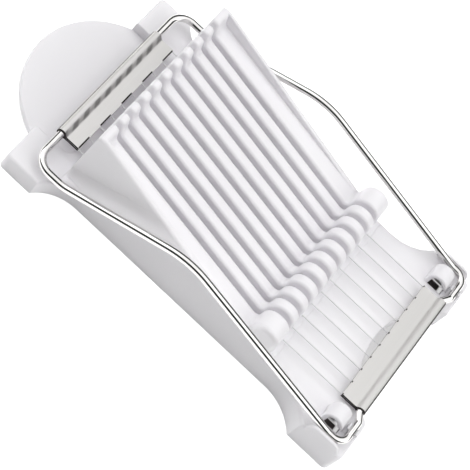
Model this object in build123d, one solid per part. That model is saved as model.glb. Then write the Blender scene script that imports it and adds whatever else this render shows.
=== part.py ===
from build123d import *
import math
import os

# Wire slicer for eggs and soft loaves: a moulded base with a ribbed cradle, and a cutting
# frame of bent rod, two folded clamp strips and ten taut wires that hinges at the right end.
# Millimetres.  +Z is up, the object rests on z = 0, +X points to the hinge end and the
# origin is under the middle of the overall length and width.

# ---- cutting pitch -------------------------------------------------------------------
pitch = 8.0                 # slice thickness, centre to centre of the wires
wire_count = 10
slot_width = 2.6
rib_edge_radius = 1.5
wire_diameter = 0.5

# ---- base plan -----------------------------------------------------------------------
overall_length = 213.0
foot_side_margin = 3.7      # side rods to the outer face of the feet
rod_side_margin = 6.5       # narrow middle to the side rods
left_foot_length = 17.4
left_end_inset = 24.4       # grip tab tip to the end of the left feet
right_foot_length = 22.7
left_waist_radius = 22.2    # concave sweep from waist to left feet
right_waist_radius = 25.0
left_corner_radius = 2.5
right_corner_radius = 3.5
left_deck_height = 10.0
deck_height = 13.6
deck_edge_radius = 2.0
left_edge_radius = 1.3
shell_thickness = 2.4

# ---- grip tab and finger pocket --------------------------------------------------------
tab_radius = 42.4
tab_top = 4.2
tab_thickness = 2.0
tab_rim_width = 1.5
tab_rim_drop = 0.8
tab_edge_radius = 0.5
pocket_side_margin = 1.8    # end of the handle strip to the side of the pocket
pocket_end_margin = 3.6     # end wall to the end of the pocket
pocket_corner_radius = 5.0

# ---- cradle ----------------------------------------------------------------------------
wall_margin = 23.1          # end of the left feet to the outer face of the end wall
cradle_length = 98.8        # outer face of the end wall to the foot of the lobes
outer_rib_width = 10.6      # last slot to the side of the cradle
side_draft = 0.9            # the side walls lean in by this from the deck to the rim
wall_thickness = 3.8
wall_foot_spread = 1.8      # the inner face leans in by this down to the ribs
wall_height = 48.6
incline_high = 42.0         # rib surface at the end wall
incline_low = 19.1          # rib surface at the foot of the lobes
incline_start_radius = 3.0
valley_radius = 2.0
lobe_width = 12.4           # across the crown
lobe_back_lean = 0.8        # from the valley to the crown
lobe_top = 31.0
lobe_foot_spread = 1.9      # the outer side of a lobe leans out by this at the deck
lobe_step_length = 2.6      # low step at the foot of the lobes
lobe_step_height = 0.6
lobe_step_edge_radius = 0.5
lobe_step_side_margin = 1.8
lip_thickness = 2.2
lip_corner_radius = 1.8
rim_radius = 1.5            # outer edge of the cradle
lip_inner_radius = 0.5
lip_overlap = 0.7           # the outermost rib runs into the lip by this
lobe_end_radius = 2.2       # outer edge of the outermost lobes
cheek_proud = 0.6           # triangular wedge on each side wall, proud at its low corner
cheek_low = 21.4
cheek_reach = 37.2          # its far corner, where it runs out below the rim

# ---- right end -------------------------------------------------------------------------
notch_radius = 44.0
notch_depth = 20.3          # from the right end of the deck
guard_thickness = 1.6
guard_length = 17.5
guard_height = 18.6
guard_corner_radius = 4.9
guard_edge_radius = 0.6
guard_end_inset = 3.2       # from the right end

# ---- cutting frame ---------------------------------------------------------------------
rod_diameter = 3.5
left_bar_margin = 10.2      # end of the left feet to the handle bar
hinge_margin = 4.5          # hinge axis to the right end
hinge_rise = 3.6            # hinge axis over the deck
hinge_joggle = 2.25         # the clamped part of the hinge bar is set in by this
joggle_margin = 0.6         # end of the hinge strip to the joggle, and from it to the hook
joggle_length = 4.1
left_bend_radius = 8.0
right_bend_radius = 5.4
crest_reach = 99.6          # hinge axis to the highest point of the side rods
crest_rise = 23.4           # above the hinge axis
crest_bend_radius = 32.0
side_rise_start = 15.9      # from the left bar to the foot of the rise
foot_bend_radius = 15.0
hinge_run = 7.5             # from the hinge bar to the foot of the fall
hinge_foot_bend_radius = 3.0
rest_tilt = 0.6             # the closed frame leans down by this at the handle, degrees

# ---- clamp strips ----------------------------------------------------------------------
strip_end_margin = 0.4      # last wire to the end of a strip
sheet_thickness = 0.55
clamp_gap = 0.03            # sheet to rod
wire_gap = 0.02             # sheet to wire
handle_leaf_reach = 9.7     # bar centre to the free edge of the strip
hinge_leaf_reach = 10.6
leaf_drop = 0.5             # leaves lie below the bar centre
strip_fillet = 1.3
wire_end_inset = 0.6        # wire end to the fold of the strip

# ---- hinge hooks -----------------------------------------------------------------------
hook_width = 8.7
hook_reach = 13.8           # hinge axis to the inner side of a hook
hook_outer_radius = 4.9
hook_bore_radius = 2.55
hook_tip_gap = 4.0          # tip to deck
hook_crown = 1.8            # material over the bore
hook_bore_shift = 0.4       # bore axis back from the middle of the hook
hook_bore_rise = 1.4        # top of the bore over the top of the bar
hook_edge_radius = 0.8
clip_width = 3.2
clip_wall = 1.0
hinge_clearance = 0.1       # running fit of the rod in the clips
clip_mouth_start = 28.0     # the clip is open between these two directions, degrees
clip_mouth_end = 152.0

# ---- handle rest -----------------------------------------------------------------------
rest_gap = 0.3              # top of the rest to the closed strip
rest_half_width = 20.0
rest_thickness = 2.3
rest_root = 1.0             # the rest runs into the pocket floor and end wall by these
rest_bond = 0.2

# ---- places that follow from the sizes above ---------------------------------------------
last_wire_y = (wire_count - 1) / 2 * pitch
cradle_half_width = last_wire_y + slot_width / 2 + outer_rib_width
waist_y = cradle_half_width + side_draft
rod_half_span = waist_y + rod_side_margin
foot_y = rod_half_span + foot_side_margin
strip_length = 2 * (last_wire_y + strip_end_margin)
pocket_half_width = strip_length / 2 + pocket_side_margin
joggle_start = strip_length / 2 + joggle_margin
hook_y = joggle_start + joggle_length + joggle_margin
right_x = overall_length / 2
left_x = -overall_length / 2
left_foot_x = left_x + left_end_inset
left_bar_x = left_foot_x + left_bar_margin
tab_centre_x = left_x + tab_radius
wall_x = left_foot_x + wall_margin
pocket_end_x = wall_x - pocket_end_margin
wall_inner_x = wall_x + wall_thickness + wall_foot_spread
valley_x = wall_x + cradle_length
lobe_start_x = valley_x + lobe_back_lean
lobe_end_x = lobe_start_x + lobe_width
lobe_foot_x = lobe_end_x + lobe_foot_spread
hinge_x = right_x - hinge_margin
hinge_z = deck_height + hinge_rise
hook_left_x = hinge_x - hook_reach
hook_right_x = hook_left_x + 2 * hook_outer_radius
hook_bore_x = hook_left_x + hook_outer_radius - hook_bore_shift
hook_bore_left_x = hook_bore_x - hook_bore_radius
clip_y = hook_y + (hook_width - clip_width) / 2
crest_x = hinge_x - crest_reach
rod_radius = rod_diameter / 2
rib_thickness = pitch - slot_width
strip_inner = rod_radius + clamp_gap
strip_outer = strip_inner + sheet_thickness
spare = 5.0                 # cutting shapes run on by this past the faces they cut
tiny = 0.01


def corner_path(points, closed):
    """Edges through the points, each corner rounded by its own radius (fourth value)."""
    count = len(points)
    ends = []
    for index in range(count):
        here = Vector(*points[index][:3])
        radius = points[index][3]
        is_end = not closed and index in (0, count - 1)
        if radius <= 0 or is_end:
            ends.append((here, None, here))
            continue
        back = (Vector(*points[index - 1][:3]) - here).normalized()
        ahead = (Vector(*points[(index + 1) % count][:3]) - here).normalized()
        half = math.radians(back.get_angle(ahead)) / 2
        reach = radius / math.tan(half)
        bisector = (back + ahead).normalized()
        middle = here + bisector * (radius / math.sin(half) - radius)
        ends.append((here + back * reach, middle, here + ahead * reach))
    edges = []
    for index in range(count):
        start, middle, end = ends[index]
        if middle is not None:
            edges.append(ThreePointArc(start, middle, end))
        if index < count - 1 or closed:
            following = ends[(index + 1) % count][0]
            if (following - end).length > tiny:
                edges.append(Line(end, following))
    return edges


def plan_block(points, low, high):
    """A block with a rounded outline seen from above, from low to high."""
    outline = [(x, y, 0, radius) for x, y, radius in points]
    face = make_face(Wire(corner_path(outline, True)))
    return Pos(0, 0, low) * extrude(face, high - low, dir=(0, 0, 1))


def side_plate(points, y_low, y_high):
    """A plate with a rounded outline seen from the side, between two y values."""
    outline = [(x, y_low, z, radius) for x, z, radius in points]
    face = make_face(Wire(corner_path(outline, True)))
    return extrude(face, y_high - y_low, dir=(0, 1, 0))


def box_between(low, high):
    size = [high[axis] - low[axis] for axis in range(3)]
    centre = [(high[axis] + low[axis]) / 2 for axis in range(3)]
    return Pos(*centre) * Box(*size)


def both_sides(shape):
    return shape + mirror(shape, about=Plane.XZ)


def rim_height(x):
    bend_x = wall_x + wall_thickness
    share = max(0, (x - bend_x) / (valley_x - bend_x))
    return wall_height + (incline_low - wall_height) * share


# ---- moulded base ------------------------------------------------------------------------
def base_face(inset):
    """Outline seen from above: four feet and a narrow waist with concave sweeps."""
    rise = foot_y - waist_y
    left_run = math.sqrt(left_waist_radius**2 - (left_waist_radius - rise) ** 2)
    right_run = math.sqrt(right_waist_radius**2 - (right_waist_radius - rise) ** 2)
    left_foot_end = left_foot_x + left_foot_length
    right_foot_end = right_x - right_foot_length
    corners = [
        (left_foot_x, foot_y, 0, left_corner_radius),
        (right_x, foot_y, 0, right_corner_radius),
        (right_x, -foot_y, 0, right_corner_radius),
        (left_foot_x, -foot_y, 0, left_corner_radius),
    ]
    face = make_face(Wire(corner_path(corners, True)))

    def sweep_arc(foot_end, radius, run, direction):
        tangent_x = foot_end + direction * run
        middle = run / 2
        lift = radius - math.sqrt(radius**2 - middle**2)
        return ThreePointArc(
            (foot_end, foot_y, 0),
            (tangent_x - direction * middle, waist_y + lift, 0),
            (tangent_x, waist_y, 0),
        )

    left_arc = sweep_arc(left_foot_end, left_waist_radius, left_run, 1)
    right_arc = sweep_arc(right_foot_end, right_waist_radius, right_run, -1)
    waist = make_face(
        Wire(
            [
                left_arc,
                Line(left_arc @ 1, right_arc @ 1),
                right_arc,
                Line((right_foot_end, foot_y, 0), (right_foot_end, foot_y + spare, 0)),
                Line((right_foot_end, foot_y + spare, 0), (left_foot_end, foot_y + spare, 0)),
                Line((left_foot_end, foot_y + spare, 0), (left_foot_end, foot_y, 0)),
            ]
        )
    )
    face = face - waist - mirror(waist, about=Plane.XZ)
    if inset > 0:
        face = offset(face, -inset, kind=Kind.INTERSECTION)
    return face


def base_block(inset, low, high):
    return Pos(0, 0, low) * extrude(base_face(inset), high - low, dir=(0, 0, 1))


def make_base():
    block = base_block(0, 0, deck_height)
    left_top = box_between(
        (left_x, -foot_y, left_deck_height), (wall_x, foot_y, deck_height + spare)
    )
    block -= left_top
    top_edges = block.edges().filter_by(
        lambda edge: edge.bounding_box().min.Z > deck_height - tiny
        and edge.center().X > wall_x + tiny
    )
    block = fillet(top_edges, deck_edge_radius)
    left_edges = block.edges().filter_by(
        lambda edge: edge.bounding_box().min.Z > left_deck_height - tiny
        and edge.bounding_box().max.Z < left_deck_height + tiny
        and edge.center().X < wall_x - tiny
    )
    block = fillet(left_edges, left_edge_radius)

    pocket = plan_block(
        [
            (left_foot_x - spare, -pocket_half_width, 0),
            (pocket_end_x, -pocket_half_width, pocket_corner_radius),
            (pocket_end_x, pocket_half_width, pocket_corner_radius),
            (left_foot_x - spare, pocket_half_width, 0),
        ],
        tab_top,
        deck_height,
    )
    block -= pocket

    notch_centre_x = right_x - notch_depth + notch_radius
    block -= Pos(notch_centre_x, 0, 0) * Cylinder(notch_radius, 4 * deck_height)
    return block


def make_tab():
    disc = Pos(tab_centre_x, 0, tab_top - tab_thickness / 2) * Cylinder(
        tab_radius, tab_thickness
    )
    rim_depth = tab_thickness + tab_rim_drop
    rim = Pos(tab_centre_x, 0, tab_top - rim_depth / 2) * (
        Cylinder(tab_radius, rim_depth)
        - Cylinder(tab_radius - tab_rim_width, rim_depth + spare)
    )
    tab = disc + rim
    tab = fillet(tab.edges().group_by(Axis.Z)[-1], tab_edge_radius)
    outside = box_between(
        (pocket_end_x + 1, -foot_y, 0), (overall_length, foot_y, deck_height)
    )
    return tab - outside - both_sides(
        box_between((left_foot_x, pocket_half_width + 1, 0), (overall_length, foot_y, deck_height))
    )


def hollow_below(base_height, x_low, x_high):
    inner = base_block(shell_thickness, 0, base_height - shell_thickness)
    window = box_between(
        (x_low, -foot_y, -1), (x_high, foot_y, base_height - shell_thickness)
    )
    return inner & window


def rib_profile():
    """Side view of a rib: end wall finger, incline and lobe."""
    lobe_radius = lobe_width / 2
    low = deck_height - shell_thickness
    return [
        (wall_x, low, 0),
        (wall_x, wall_height, wall_thickness / 2 - tiny),
        (wall_x + wall_thickness, wall_height, wall_thickness / 2 - tiny),
        (wall_inner_x, incline_high, incline_start_radius),
        (valley_x, incline_low, valley_radius),
        (lobe_start_x, lobe_top, lobe_radius - tiny),
        (lobe_end_x, lobe_top, lobe_radius - tiny),
        (lobe_foot_x, deck_height, 0),
        (lobe_foot_x, low, 0),
    ]


def edges_along(plate, above):
    """Outline edges of an upright plate that reach higher than a level."""
    return plate.edges().filter_by(
        lambda edge: edge.bounding_box().size.Y < tiny
        and edge.bounding_box().max.Z > above
        and edge.bounding_box().min.Z > deck_height - tiny
    )


def make_ribs():
    ribs = []
    profile = rib_profile()
    for index in range(1, wire_count):
        middle = (index - wire_count / 2) * pitch
        rib = side_plate(profile, middle - rib_thickness / 2, middle + rib_thickness / 2)
        ribs.append(fillet(edges_along(rib, deck_height + tiny), rib_edge_radius))
    return ribs


def drafted(plate):
    """The plate with its outer face leaning in from deck level up to the rim."""
    face = make_face(
        Polyline(
            (wall_x - spare, waist_y, deck_height),
            (wall_x - spare, cradle_half_width, wall_height),
            (wall_x - spare, foot_y, wall_height),
            (wall_x - spare, foot_y, deck_height),
            close=True,
        )
    )
    return plate - extrude(face, lobe_foot_x - wall_x + 2 * spare, dir=(1, 0, 0))


def side_edges(plate, y):
    """Outline edges of a side plate on its face nearest to y, above deck level."""
    lean = waist_y - cradle_half_width + tiny
    return plate.edges().filter_by(
        lambda edge: abs(edge.center().Y - y) < lean
        and edge.bounding_box().size.Y < lean
        and edge.bounding_box().max.Z > deck_height + tiny
        and edge.bounding_box().min.Z > deck_height - tiny
    )


def wall_y(z):
    """Outer face of the side wall at a height above deck level."""
    share = (z - deck_height) / (wall_height - deck_height)
    return waist_y + (cradle_half_width - waist_y) * share


def make_cheek(inner_y):
    """Wedge that runs out flush below the rim and ends in a step along its lower edge."""
    far_x = wall_x + cheek_reach
    corners = [
        (wall_x, cheek_low),
        (wall_x, wall_height - rim_radius),
        (far_x, rim_height(far_x) - rim_radius),
    ]
    plate = side_plate([(x, z, 0) for x, z in corners], inner_y, waist_y + spare)
    proud = [cheek_proud, 0, 0]
    low, high, far = [
        Vector(x, wall_y(z) + out, z) for (x, z), out in zip(corners, proud)
    ]
    along = far - high
    normal = along.cross(low - high)
    if normal.Y < 0:
        normal = -normal
    reach = 2 * overall_length
    beyond = Plane(origin=high, x_dir=along, z_dir=normal) * (
        Pos(0, 0, reach / 2) * Box(reach, reach, reach)
    )
    return plate - beyond


def make_side_slab():
    """Outermost wide rib with its tapering lip; its outer face is the side wall."""
    inner_y = last_wire_y + slot_width / 2
    lip_inner_y = cradle_half_width - lip_thickness
    slab = side_plate(rib_profile(), inner_y, lip_inner_y + lip_overlap)
    slab = fillet(side_edges(slab, inner_y), rib_edge_radius)
    lip = side_plate(
        [
            (wall_x, deck_height, 0),
            (wall_x, wall_height, lip_corner_radius),
            (wall_x + wall_thickness, wall_height, lip_corner_radius),
            (lobe_start_x + lobe_end_radius, rim_height(lobe_start_x + lobe_end_radius), 0),
            (lobe_start_x + lobe_end_radius, deck_height, 0),
        ],
        lip_inner_y,
        waist_y,
    )
    lip = fillet(side_edges(drafted(lip), lip_inner_y), lip_inner_radius)
    slab += fillet(side_edges(lip, cradle_half_width), rim_radius)
    lobe_radius = lobe_width / 2
    lobe = side_plate(
        [
            (valley_x, deck_height, 0),
            (lobe_start_x, lobe_top, lobe_radius - tiny),
            (lobe_end_x, lobe_top, lobe_radius - tiny),
            (lobe_foot_x, deck_height, 0),
        ],
        lip_inner_y,
        waist_y,
    )
    slab += fillet(side_edges(drafted(lobe), cradle_half_width), lobe_end_radius)
    slab += make_cheek(lip_inner_y)
    # the wall carries straight on below deck level
    slab += box_between(
        (wall_x, waist_y - shell_thickness, deck_height - 2 * deck_edge_radius),
        (lobe_foot_x, waist_y, deck_height),
    )
    return slab


def make_step():
    """Low step along the foot of the lobes, crossed by the slots."""
    half_width = waist_y - lobe_step_side_margin
    step_top = deck_height + lobe_step_height
    return side_plate(
        [
            (lobe_end_x, deck_height - 1, 0),
            (lobe_end_x, step_top, 0),
            (lobe_foot_x + lobe_step_length, step_top, lobe_step_edge_radius),
            (lobe_foot_x + lobe_step_length, deck_height - 1, 0),
        ],
        -half_width,
        half_width,
    )


def make_slots():
    slots = []
    low_x = wall_x - spare
    high_x = lobe_foot_x
    for index in range(wire_count):
        y = index * pitch - last_wire_y
        slots.append(
            box_between(
                (low_x, y - slot_width / 2, deck_height),
                (high_x, y + slot_width / 2, wall_height + spare),
            )
        )
    return slots


def make_guard():
    high_x = right_x - guard_end_inset
    low_x = high_x - guard_length
    guard = side_plate(
        [
            (low_x, deck_height - 2 * deck_edge_radius, 0),
            (low_x, guard_height, guard_corner_radius),
            (high_x, guard_height, guard_corner_radius),
            (high_x, deck_height - 2 * deck_edge_radius, 0),
        ],
        foot_y - guard_thickness,
        foot_y,
    )
    edges = guard.edges().filter_by(
        lambda edge: edge.bounding_box().size.Y < tiny
        and edge.bounding_box().max.Z > deck_height + tiny
        and edge.center().Y > foot_y - tiny
    )
    return fillet(edges, guard_edge_radius)


def make_hook_hole():
    """Hole through the deck below a hook, as wide as the hook's opening."""
    return box_between(
        (hook_bore_left_x, hook_y, deck_height - shell_thickness - spare),
        (hook_right_x, hook_y + hook_width, deck_height + spare),
    )


def make_hook():
    bore_top = hinge_z + rod_radius + hook_bore_rise
    hook_top = bore_top + hook_crown
    low = deck_height - 1
    tip_z = deck_height + hook_tip_gap
    body = side_plate(
        [
            (hook_left_x, low, 0),
            (hook_left_x, hook_top, hook_outer_radius - tiny),
            (hook_right_x, hook_top, hook_outer_radius - tiny),
            (hook_right_x, low, 0),
        ],
        hook_y,
        hook_y + hook_width,
    )
    rounded = body.edges().filter_by(
        lambda edge: edge.bounding_box().size.Y < tiny
        and edge.bounding_box().max.Z > deck_height + tiny
    )
    body = fillet(rounded, hook_edge_radius)
    bore = side_plate(
        [
            (hook_bore_left_x, low - spare, 0),
            (hook_bore_left_x, bore_top, hook_bore_radius - tiny),
            (hook_bore_x + hook_bore_radius, bore_top, hook_bore_radius - tiny),
            (hook_bore_x + hook_bore_radius, low - spare, 0),
        ],
        hook_y - spare,
        hook_y + hook_width + spare,
    )
    mouth = box_between(
        (hook_bore_x, hook_y - spare, low - spare),
        (hook_right_x + tiny, hook_y + hook_width + spare, tip_z),
    )
    body -= bore
    body -= mouth

    # clip round the hinge bar, open at the top so that the frame snaps in and out
    clip_outer = rod_radius + hinge_clearance + clip_wall
    ring = Pos(hinge_x, clip_y + clip_width / 2, hinge_z) * (
        Rot(90, 0, 0) * Cylinder(clip_outer, clip_width)
    )
    post = box_between(
        (hinge_x - clip_outer, clip_y, low),
        (hinge_x + clip_outer, clip_y + clip_width, hinge_z),
    )
    clip = ring + post
    mouth_points = [(hinge_x, clip_y - spare, hinge_z)]
    reach = 3 * clip_outer
    clip_mouth_middle = (clip_mouth_start + clip_mouth_end) / 2
    for angle in (clip_mouth_start, clip_mouth_middle, clip_mouth_end):
        mouth_points.append(
            (
                hinge_x + reach * math.cos(math.radians(angle)),
                clip_y - spare,
                hinge_z + reach * math.sin(math.radians(angle)),
            )
        )
    wedge = make_face(Polyline(*mouth_points, close=True))
    clip -= extrude(wedge, clip_width + 2 * spare, dir=(0, 1, 0))
    bar_room = Pos(hinge_x, clip_y + clip_width / 2, hinge_z) * (
        Rot(90, 0, 0) * Cylinder(rod_radius + hinge_clearance, 3 * hook_width)
    )
    return body + clip - bar_room


def strip_underside(x):
    """Lowest point of the closed handle strip's leaves at a place along the object."""
    leaf_half = sheet_thickness + wire_diameter / 2 + wire_gap
    drop = (hinge_x - x) * math.tan(math.radians(rest_tilt))
    return hinge_z - leaf_drop - leaf_half - drop


def make_handle_rest():
    high_x = pocket_end_x + rest_bond
    low_x = high_x - rest_thickness
    top = strip_underside(low_x) - rest_gap
    return box_between(
        (low_x, -rest_half_width, tab_top - rest_root), (high_x, rest_half_width, top)
    )


def make_body():
    body = make_base()
    body -= hollow_below(deck_height, wall_x + shell_thickness, right_x)
    ears = hollow_below(left_deck_height, left_foot_x, wall_x)
    pocket_floor = box_between(
        (left_foot_x - spare, -pocket_half_width - shell_thickness, tab_top - tab_thickness),
        (pocket_end_x + shell_thickness, pocket_half_width + shell_thickness, deck_height),
    )
    body -= ears - pocket_floor
    # wall round the end notch, where the deck shell was opened by the hollow
    notch_centre_x = right_x - notch_depth + notch_radius
    notch_wall = Pos(notch_centre_x, 0, deck_height / 2) * (
        Cylinder(notch_radius + shell_thickness, deck_height)
        - Cylinder(notch_radius, deck_height + 1)
    )
    within = base_block(0, 0, deck_height - deck_edge_radius)
    body += notch_wall & within
    body += make_tab()
    slab = make_side_slab()
    cradle = [slab, mirror(slab, about=Plane.XZ)]
    cradle += make_ribs()
    # floor that joins the ribs below the slots
    cradle.append(
        box_between(
            (wall_x, -waist_y + 1, deck_height - shell_thickness),
            (lobe_foot_x, waist_y - 1, deck_height),
        )
    )
    cradle.append(
        box_between((wall_x, -waist_y, 0), (wall_x + shell_thickness, waist_y, deck_height))
    )
    cradle.append(make_step())
    for piece in cradle:
        body += piece
    for slot in make_slots():
        body -= slot
    body += both_sides(make_guard())
    body -= both_sides(make_hook_hole())
    body += both_sides(make_hook())
    body += make_handle_rest()
    return body


# ---- cutting frame -------------------------------------------------------------------------
def close_frame(shape):
    """Lay the flat-built frame down on the base, turning about the hinge axis."""
    hinge = Axis((hinge_x, 0, hinge_z), (0, 1, 0))
    return shape.rotate(hinge, -rest_tilt)


def make_rod():
    clamped_x = hinge_x - hinge_joggle
    bend = joggle_length * 0.45
    points = [
        (left_bar_x, 0, hinge_z, 0),
        (left_bar_x, rod_half_span, hinge_z, left_bend_radius),
        (left_bar_x + side_rise_start, rod_half_span, hinge_z, foot_bend_radius),
        (crest_x, rod_half_span, hinge_z + crest_rise, crest_bend_radius),
        (hinge_x - hinge_run, rod_half_span, hinge_z, hinge_foot_bend_radius),
        (hinge_x, rod_half_span, hinge_z, right_bend_radius),
        (hinge_x, joggle_start + joggle_length, hinge_z, bend),
        (clamped_x, joggle_start, hinge_z, bend),
        (clamped_x, 0, hinge_z, 0),
    ]
    path = Wire(corner_path(points, False))
    start = Plane(origin=(left_bar_x, 0, hinge_z), z_dir=(0, 1, 0))
    half = sweep(start * Circle(rod_radius), path=path)
    return half + mirror(half, about=Plane.XZ)


def make_strip(bar_x, leaf_reach, direction):
    """Sheet folded round a bar; its two leaves reach inwards and clamp the wires."""
    leaf_half = sheet_thickness + wire_diameter / 2 + wire_gap
    leaf_z = -leaf_drop
    outer = Circle(strip_outer) + Pos(leaf_reach / 2, leaf_z) * Rectangle(
        leaf_reach, 2 * leaf_half
    )
    inside = [
        vertex
        for vertex in outer.vertices()
        if 0 < vertex.X <= strip_outer and abs(vertex.Y - leaf_z) < leaf_half + tiny
    ]
    outer = fillet(inside, strip_fillet)
    slit = Pos((leaf_reach + spare) / 2, leaf_z) * Rectangle(
        leaf_reach + spare, wire_diameter + 2 * wire_gap
    )
    profile = outer - Circle(strip_inner) - slit
    # sketch x runs inwards along the object, sketch y runs up
    if direction > 0:
        plane = Plane(origin=(bar_x, strip_length / 2, hinge_z), x_dir=(1, 0, 0), z_dir=(0, -1, 0))
    else:
        plane = Plane(origin=(bar_x, -strip_length / 2, hinge_z), x_dir=(-1, 0, 0), z_dir=(0, 1, 0))
    return extrude(plane * profile, strip_length)


def make_wire(index):
    y = index * pitch - last_wire_y
    inset = strip_outer + wire_end_inset
    low_x = left_bar_x + inset
    high_x = hinge_x - hinge_joggle - inset
    wire = Pos((low_x + high_x) / 2, y, hinge_z - leaf_drop) * (
        Rot(0, 90, 0) * Cylinder(wire_diameter / 2, high_x - low_x)
    )
    return wire


os.makedirs("parts", exist_ok=True)
export_step(make_body(), "parts/body.step")
export_step(close_frame(make_rod()), "parts/frame_rod.step")
export_step(close_frame(make_strip(left_bar_x, handle_leaf_reach, 1)), "parts/handle_strip.step")
hinge_strip = make_strip(hinge_x - hinge_joggle, hinge_leaf_reach, -1)
export_step(close_frame(hinge_strip), "parts/hinge_strip.step")
for number in range(wire_count):
    name = f"wire_{number + 1:02d}"
    export_step(close_frame(make_wire(number)), f"parts/{name}.step")
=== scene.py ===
import math

import bpy
from mathutils import Matrix, Vector

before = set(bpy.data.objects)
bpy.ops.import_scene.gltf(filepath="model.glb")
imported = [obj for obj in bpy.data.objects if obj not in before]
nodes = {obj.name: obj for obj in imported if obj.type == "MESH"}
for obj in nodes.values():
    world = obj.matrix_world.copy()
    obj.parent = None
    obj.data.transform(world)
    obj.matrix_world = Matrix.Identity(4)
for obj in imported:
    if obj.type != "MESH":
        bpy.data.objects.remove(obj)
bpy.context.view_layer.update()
wire_names = sorted(name for name in nodes if name.startswith("wire_"))


# ---- places on the object, in metres along the frame's axes: (low, high) -----------------
wire_pitch = 0.008                      # between neighbouring wires
outermost_wire_y = 4.5 * wire_pitch     # ten wires, five on either side of the middle

handle_outer_line_x = (-0.0750, -0.0739)    # the outer side of the handle strip's tube
handle_groove_x = (-0.0711, -0.0690)        # between its tube and its leaf
handle_leaf_edge_x = (-0.0628, -0.0610)
hinge_outer_line_x = (0.1011, 0.1030)       # the outer side of the hinge strip's tube
hinge_leaf_edge_x = (0.0880, 0.0896)
near_cut_end_y = (-0.0370, -0.0361)         # the cut end of both strips on the near side
line_softness = 0.0002
groove_softness = 0.0004
leaf_edge_softness = 0.0001
cut_end_softness = 0.00005

# the hollow in each right foot, which shows through the hole below its hook, with painted shade
# inside it
foot_hollow_x = (0.0857, 0.1038)
foot_hollow_y = (0.0382, 0.0563)
foot_hollow_top = 0.0112
hollow_softness = 0.0001


# ---- helpers for materials ---------------------------------------------------------------
def new_material(name):
    material = bpy.data.materials.new(name)
    material.use_nodes = True
    tree = material.node_tree
    return material, tree, tree.nodes["Principled BSDF"]


def add(tree, kind, **values):
    node = tree.nodes.new(kind)
    for key, value in values.items():
        if key in node.inputs:
            node.inputs[key].default_value = value
        else:
            setattr(node, key, value)
    return node


def math_node(tree, operation, first, second=None):
    """A sum, product or the like of sockets and numbers."""
    node = add(tree, "ShaderNodeMath", operation=operation)
    for socket, value in zip(node.inputs, (first, second)):
        if isinstance(value, bpy.types.NodeSocket):
            tree.links.new(value, socket)
        elif value is not None:
            socket.default_value = value
    return node.outputs["Value"]


def product(tree, first, second):
    return math_node(tree, "MULTIPLY", first, second)


def largest(tree, first, second):
    return math_node(tree, "MAXIMUM", first, second)


def slope(tree, value, nothing_at, one_at):
    """Nothing at one value, one at the other, and a smooth slope between them."""
    node = add(tree, "ShaderNodeMapRange", interpolation_type="SMOOTHSTEP")
    node.inputs["From Min"].default_value = nothing_at
    node.inputs["From Max"].default_value = one_at
    tree.links.new(value, node.inputs["Value"])
    return node.outputs["Result"]


def above(tree, value, start, softness):
    return slope(tree, value, start - softness, start + softness)


def below(tree, value, end, softness):
    return slope(tree, value, end + softness, end - softness)


def within(tree, value, limits, softness):
    """One between the two limits and nothing outside them, with soft edges."""
    low, high = limits
    return product(
        tree, above(tree, value, low, softness), below(tree, value, high, softness)
    )


def wave(tree, value, pitch, crest):
    """A cosine along the value, with a crest at the place given and at every pitch from it."""
    turns = product(tree, value, 2 * math.pi / pitch)
    return math_node(
        tree, "COSINE", math_node(tree, "SUBTRACT", turns, 2 * math.pi * crest / pitch)
    )


def object_axes(tree, coords):
    split = add(tree, "ShaderNodeSeparateXYZ")
    tree.links.new(coords.outputs["Object"], split.inputs["Vector"])
    return split.outputs["X"], split.outputs["Y"], split.outputs["Z"]


def noise(tree, vector, scale, detail):
    node = add(tree, "ShaderNodeTexNoise", Scale=scale, Detail=detail)
    tree.links.new(vector, node.inputs["Vector"])
    return node.outputs["Fac"]


def two_tone(tree, factor, first, second, start=0.0, end=1.0):
    """A colour that runs from the first to the second as the factor goes from start to end."""
    node = add(tree, "ShaderNodeValToRGB")
    for element, position, color in zip(
        node.color_ramp.elements, (start, end), (first, second)
    ):
        element.position = position
        element.color = (*color, 1)
    tree.links.new(factor, node.inputs["Fac"])
    return node.outputs["Color"]


def spread_over(tree, factor, low, high):
    node = add(tree, "ShaderNodeMapRange")
    node.inputs["To Min"].default_value = low
    node.inputs["To Max"].default_value = high
    tree.links.new(factor, node.inputs["Value"])
    return node.outputs["Result"]


def covered(tree, factor, color, cover):
    """The colour, with the cover over it as far as the factor says."""
    node = add(tree, "ShaderNodeMixRGB")
    node.inputs["Color2"].default_value = (*cover, 1)
    tree.links.new(factor, node.inputs["Fac"])
    tree.links.new(color, node.inputs["Color1"])
    return node.outputs["Color"]


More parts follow.
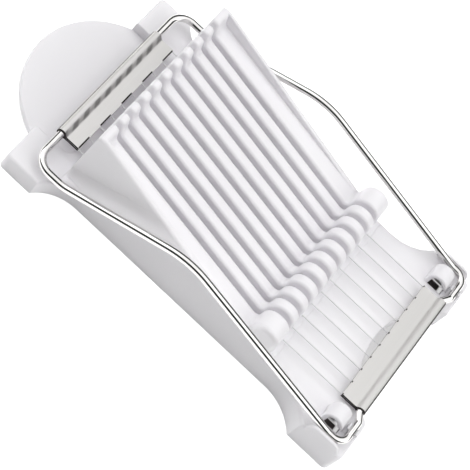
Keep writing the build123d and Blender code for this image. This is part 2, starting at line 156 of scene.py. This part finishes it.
# ---- materials ---------------------------------------------------------------------------
def plastic_material():
    """White moulded plastic that lets a little light in, with painted shade inside the right
    feet.
    """
    material, tree, shader = new_material("white_plastic")
    link = tree.links.new
    coords = add(tree, "ShaderNodeTexCoord")
    broad = noise(tree, coords.outputs["Object"], scale=22.0, detail=2.0)
    fine = noise(tree, coords.outputs["Object"], scale=900.0, detail=3.0)
    white = two_tone(
        tree, broad, (0.918, 0.902, 0.936), (0.934, 0.917, 0.950), start=0.35, end=0.68
    )
    along_x, along_y, along_z = object_axes(tree, coords)
    across = math_node(tree, "ABSOLUTE", along_y)
    hollow = product(
        tree,
        within(tree, along_x, foot_hollow_x, hollow_softness),
        within(tree, across, foot_hollow_y, hollow_softness),
    )
    hollow = product(tree, hollow, below(tree, along_z, foot_hollow_top, hollow_softness))
    # painted shade: the inside of each foot's hollow is coloured darker to stand in for the
    # dark there
    link(covered(tree, hollow, white, (0.50, 0.44, 0.42)), shader.inputs["Base Color"])
    link(spread_over(tree, fine, 0.26, 0.36), shader.inputs["Roughness"])

    rounded_edge = add(tree, "ShaderNodeBevel", samples=6, Radius=0.0007)
    bump = add(tree, "ShaderNodeBump", Strength=0.06, Distance=0.0002)
    link(rounded_edge.outputs["Normal"], bump.inputs["Normal"])
    link(fine, bump.inputs["Height"])
    link(bump.outputs["Normal"], shader.inputs["Normal"])
    shader.inputs["IOR"].default_value = 1.5
    shader.inputs["Subsurface Weight"].default_value = 0.40
    shader.inputs["Subsurface Radius"].default_value = (1.0, 0.97, 1.0)
    shader.inputs["Subsurface Scale"].default_value = 0.0030
    return material


def rod_material():
    material, tree, shader = new_material("polished_rod")
    coords = add(tree, "ShaderNodeTexCoord")
    fine = noise(tree, coords.outputs["Object"], scale=260.0, detail=2.0)
    steel = two_tone(tree, fine, (0.70, 0.69, 0.68), (0.80, 0.79, 0.78))
    tree.links.new(steel, shader.inputs["Base Color"])
    tree.links.new(spread_over(tree, fine, 0.03, 0.08), shader.inputs["Roughness"])
    shader.inputs["Metallic"].default_value = 1.0
    return material


def wire_material():
    material, tree, shader = new_material("drawn_wire")
    coords = add(tree, "ShaderNodeTexCoord")
    fine = noise(tree, coords.outputs["Object"], scale=400.0, detail=2.0)
    steel = two_tone(tree, fine, (0.80, 0.80, 0.81), (0.88, 0.88, 0.89))
    tree.links.new(steel, shader.inputs["Base Color"])
    shader.inputs["Metallic"].default_value = 1.0
    shader.inputs["Roughness"].default_value = 0.3
    return material


def handle_marks(tree, along_x, along_y):
    """A dark outer line, painted shade in the crease between tube and leaf that is darker at
    the wires' ends, and each wire loop at the leaf's edge painted dark together with its
    shadow.
    """
    patch_lean = 0.9        # each patch leans by this much along y for each step along x
    patch_start = -0.1      # on the wave, with a slope over nearly all of it
    patch_softness = 0.8
    # the painted shade in the crease is darker where the wires' ends go in
    patch_depth = 0.42
    groove_depth = 0.18     # how dark the painted shade in the crease is away from the wires
    loop_start = 0.05       # on the wave, so that a loop is nearly a pitch long
    loop_softness = 0.05

    outer_line = within(tree, along_x, handle_outer_line_x, line_softness)

    leaning = math_node(tree, "ADD", along_y, product(tree, along_x, patch_lean))
    over_wires = wave(tree, leaning, wire_pitch, outermost_wire_y)
    wire_end_shade = above(tree, over_wires, patch_start, patch_softness)
    depth = math_node(tree, "ADD", product(tree, wire_end_shade, patch_depth), groove_depth)
    crease_shade = product(tree, within(tree, along_x, handle_groove_x, groove_softness), depth)

    # a loop joins every second pair of neighbouring wires, the middle pair among them; the wire
    # and its shadow are painted as one dark line
    over_pairs = wave(tree, along_y, 2 * wire_pitch, 0.0)
    loop_and_shadow = above(tree, over_pairs, loop_start, loop_softness)
    leaf_edge = within(tree, along_x, handle_leaf_edge_x, leaf_edge_softness)
    return largest(tree, largest(tree, outer_line, crease_shade), product(tree, loop_and_shadow, leaf_edge))


def hinge_marks(tree, along_x, along_y):
    """A dark outer line, and a dot of painted shade where each wire goes in under the leaf."""
    dot_start = 0.92        # on the wave, so that a dot is about two wires wide
    dot_softness = 0.03
    outer_line = within(tree, along_x, hinge_outer_line_x, line_softness)
    over_wires = wave(tree, along_y, wire_pitch, outermost_wire_y)
    dot_shade = above(tree, over_wires, dot_start, dot_softness)
    leaf_edge = within(tree, along_x, hinge_leaf_edge_x, leaf_edge_softness)
    return largest(tree, outer_line, product(tree, dot_shade, leaf_edge))


def strip_material(name, marks, tone):
    """Satin sheet steel with a grain along the strip, and dark marks, among them painted shade
    and wire loops painted with their shadow.
    """
    material, tree, shader = new_material(name)
    link = tree.links.new
    coords = add(tree, "ShaderNodeTexCoord")
    stretch = add(tree, "ShaderNodeMapping")
    stretch.inputs["Scale"].default_value = (900.0, 30.0, 900.0)
    link(coords.outputs["Object"], stretch.inputs["Vector"])
    grain = noise(tree, stretch.outputs["Vector"], scale=1.0, detail=3.0)
    steel = two_tone(
        tree, grain,
        (0.72 * tone, 0.71 * tone, 0.695 * tone),
        (0.78 * tone, 0.77 * tone, 0.755 * tone),
    )
    along_x, along_y = object_axes(tree, coords)[:2]
    cut_end = within(tree, along_y, near_cut_end_y, cut_end_softness)
    dark = largest(tree, marks(tree, along_x, along_y), cut_end)
    # near-black over the marks, which include painted shade
    link(covered(tree, dark, steel, (0.035, 0.03, 0.028)), shader.inputs["Base Color"])
    link(spread_over(tree, grain, 0.42, 0.54), shader.inputs["Roughness"])

    bump = add(tree, "ShaderNodeBump", Strength=0.15, Distance=0.0001)
    link(grain, bump.inputs["Height"])
    link(bump.outputs["Normal"], shader.inputs["Normal"])
    shader.inputs["Metallic"].default_value = 1.0
    return material


def dress(name, material):
    for slot in nodes[name].material_slots:
        slot.material = material


wire = wire_material()
dress("body", plastic_material())
dress("frame_rod", rod_material())
dress("handle_strip", strip_material("satin_handle_strip", handle_marks, tone=1.08))
dress("hinge_strip", strip_material("satin_hinge_strip", hinge_marks, tone=1.01))
for wire_name in wire_names:
    dress(wire_name, wire)


# ---- floor -------------------------------------------------------------------------------
floor_half_width = 3.0
floor_glow = 0.60                   # keeps the floor beside the object white
base_x = (-0.060, 0.097)            # the glow stops below the base ...
base_half_width = 0.038
base_softness = 0.001
foot_x = (0.087, 0.0985)            # ... and below its right feet, where the floor has painted shade
foot_y = (0.0385, 0.0560)
foot_softness = 0.0005


def floor_material():
    """A pale floor whose glow only the camera and reflections see, with none below the base,
    and painted shade below the right feet.
    """
    material = bpy.data.materials.new("studio_floor")
    material.use_nodes = True
    tree = material.node_tree
    link = tree.links.new
    tree.nodes.clear()
    coords = add(tree, "ShaderNodeTexCoord")
    broad = noise(tree, coords.outputs["Object"], scale=6.0, detail=2.0)
    pale = two_tone(tree, broad, (0.925, 0.925, 0.925), (0.945, 0.945, 0.945))
    along_x, along_y = object_axes(tree, coords)[:2]
    across = math_node(tree, "ABSOLUTE", along_y)
    base = product(
        tree,
        within(tree, along_x, base_x, base_softness),
        below(tree, across, base_half_width, base_softness),
    )
    foot = product(
        tree,
        within(tree, along_x, foot_x, foot_softness),
        within(tree, across, foot_y, foot_softness),
    )
    open_floor = math_node(tree, "SUBTRACT", 1.0, largest(tree, base, foot))

    diffuse = add(tree, "ShaderNodeBsdfDiffuse")
    glow = add(tree, "ShaderNodeEmission")
    both = add(tree, "ShaderNodeAddShader")
    path = add(tree, "ShaderNodeLightPath")
    pick = add(tree, "ShaderNodeMixShader")
    output = add(tree, "ShaderNodeOutputMaterial")
    seen = largest(tree, path.outputs["Is Camera Ray"], path.outputs["Is Glossy Ray"])
    # painted shade on the floor below the right feet, seen through the holes below the hooks
    link(covered(tree, foot, pale, (0.36, 0.32, 0.31)), diffuse.inputs["Color"])
    link(product(tree, open_floor, floor_glow), glow.inputs["Strength"])
    link(diffuse.outputs["BSDF"], both.inputs[0])
    link(glow.outputs["Emission"], both.inputs[1])
    link(seen, pick.inputs["Fac"])
    link(diffuse.outputs["BSDF"], pick.inputs[1])
    link(both.outputs["Shader"], pick.inputs[2])
    link(pick.outputs["Shader"], output.inputs["Surface"])
    return material


floor_mesh = bpy.data.meshes.new("studio_floor")
floor_mesh.from_pydata(
    [(-floor_half_width, -floor_half_width, 0), (floor_half_width, -floor_half_width, 0),
     (floor_half_width, floor_half_width, 0), (-floor_half_width, floor_half_width, 0)],
    [], [(0, 1, 2, 3)],
)
floor = bpy.data.objects.new("studio_floor", floor_mesh)
floor_mesh.materials.append(floor_material())
bpy.context.scene.collection.objects.link(floor)


# ---- light -------------------------------------------------------------------------------
# the ceiling's reach along each way and the shift of its middle, as shares of its height
ceiling_reach = {"X": 6.0, "Y": 0.85}
ceiling_shift = {"X": 0.3, "Y": 0.15}   # towards the hinge end, and towards the far side
ceiling_fade = 0.12         # its edge is soft over this share of its reach on either side
ceiling_strength = 1.24
ceiling_spread = 1.0        # it is brighter by up to this share low down along x
room_strength = 0.045
lowest_height = 0.001       # stands in for the height of a direction below the horizon


def studio_world():
    """A broad bright ceiling over a dark room: its edges draw the dark lines along the rod."""
    world = bpy.data.worlds.new("studio")
    world.use_nodes = True
    tree = world.node_tree
    background = tree.nodes["Background"]
    background.inputs["Color"].default_value = (1, 1, 1, 1)
    direction = add(tree, "ShaderNodeTexCoord")
    split = add(tree, "ShaderNodeSeparateXYZ")
    tree.links.new(direction.outputs["Generated"], split.inputs["Vector"])
    height = largest(tree, split.outputs["Z"], lowest_height)
    ceiling = 1.0
    for axis, reach in ceiling_reach.items():
        share = math_node(tree, "DIVIDE", split.outputs[axis], height)
        off_middle = math_node(tree, "SUBTRACT", share, ceiling_shift[axis])
        aside = math_node(tree, "ABSOLUTE", off_middle)
        ceiling = product(tree, below(tree, aside, reach, reach * ceiling_fade), ceiling)
    sideways = product(tree, split.outputs["X"], split.outputs["X"])
    spread = math_node(tree, "ADD", product(tree, sideways, ceiling_spread), 1.0)
    lit = product(tree, product(tree, ceiling, spread), ceiling_strength)
    tree.links.new(largest(tree, lit, room_strength), background.inputs["Strength"])
    return world


bpy.context.scene.world = studio_world()


# ---- camera ------------------------------------------------------------------------------
camera_target = Vector((0.0123, -0.00187, 0.0))
camera_distance = 0.9211
camera_elevation = math.radians(54.0)   # it looks down by this
camera_swing = math.radians(6.70)       # and towards the hinge end by this
camera_roll = math.radians(48.77)       # the photo is turned by this in its own plane

forward = Vector((
    math.cos(camera_elevation) * math.sin(camera_swing),
    math.cos(camera_elevation) * math.cos(camera_swing),
    -math.sin(camera_elevation),
))
level = Vector((math.cos(camera_swing), -math.sin(camera_swing), 0.0))
upward = level.cross(forward)
camera_x = math.cos(camera_roll) * level + math.sin(camera_roll) * upward
camera_y = -math.sin(camera_roll) * level + math.cos(camera_roll) * upward
place = camera_target - forward * camera_distance
camera_data = bpy.data.cameras.new("camera")
camera_data.lens = 162.0
camera_data.sensor_width = 36.0
camera_data.clip_end = 20.0
camera = bpy.data.objects.new("camera", camera_data)
camera.matrix_world = Matrix((
    (camera_x.x, camera_y.x, -forward.x, place.x),
    (camera_x.y, camera_y.y, -forward.y, place.y),
    (camera_x.z, camera_y.z, -forward.z, place.z),
    (0, 0, 0, 1),
))
bpy.context.scene.collection.objects.link(camera)
bpy.context.scene.camera = camera
bpy.context.scene.view_settings.view_transform = "Standard"
